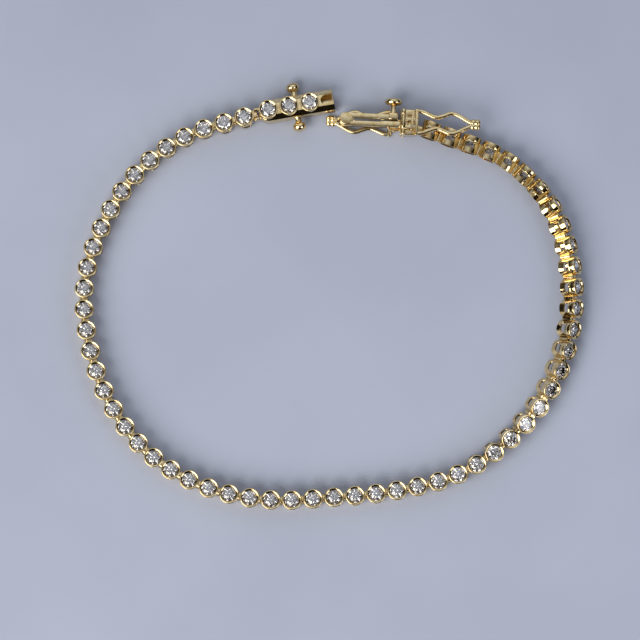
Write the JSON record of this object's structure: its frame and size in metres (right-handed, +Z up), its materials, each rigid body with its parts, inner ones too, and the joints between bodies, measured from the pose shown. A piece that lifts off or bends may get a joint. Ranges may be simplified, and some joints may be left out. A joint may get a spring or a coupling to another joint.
{
  "type": "tennis bracelet",
  "caption": "Bracelet of round bezel cups, each holding a brilliant-cut stone, joined by hinge lugs, with a box clasp, spring tongue and two figure-eight safety catches, lying open.",
  "frame": {"origin": "on the surface that the bracelet lies on, under the middle of its whole extent", "axes": "+X along the longest extent of the loop, towards the side where the chain lies on its edge; +Y towards the clasp; +Z up from the surface"},
  "size_m": [0.0686, 0.0578, 0.0037],
  "materials": {
    "gold": "polished yellow gold",
    "stone": "faceted, clear"
  },
  "bodies": {
    "bracelet": {"chain_a": "gold", "chain_b": "gold", "clasp_box": "gold", "clasp_stone_1": "stone", "clasp_stone_2": "stone", "clasp_stone_3": "stone", "tongue": "gold", "catch_pin_near": "gold", "catch_pin_far": "gold"},
    "near_catch": {"catch_near": "gold"},
    "far_catch": {"catch_far": "gold"}
  },
  "joints": [
    {"name": "near_catch_hinge", "type": "hinge", "parent": "bracelet", "child": "near_catch", "pos_m": [0.00999, 0.02339, 0.00034], "axis": [-0.0436, -0.999, 0], "range_deg": [0, 160]},
    {"name": "far_catch_hinge", "type": "hinge", "parent": "bracelet", "child": "far_catch", "pos_m": [0.00999, 0.02339, 0.00334], "axis": [-0.0436, -0.999, 0], "range_deg": [0, 180]}
  ]
}
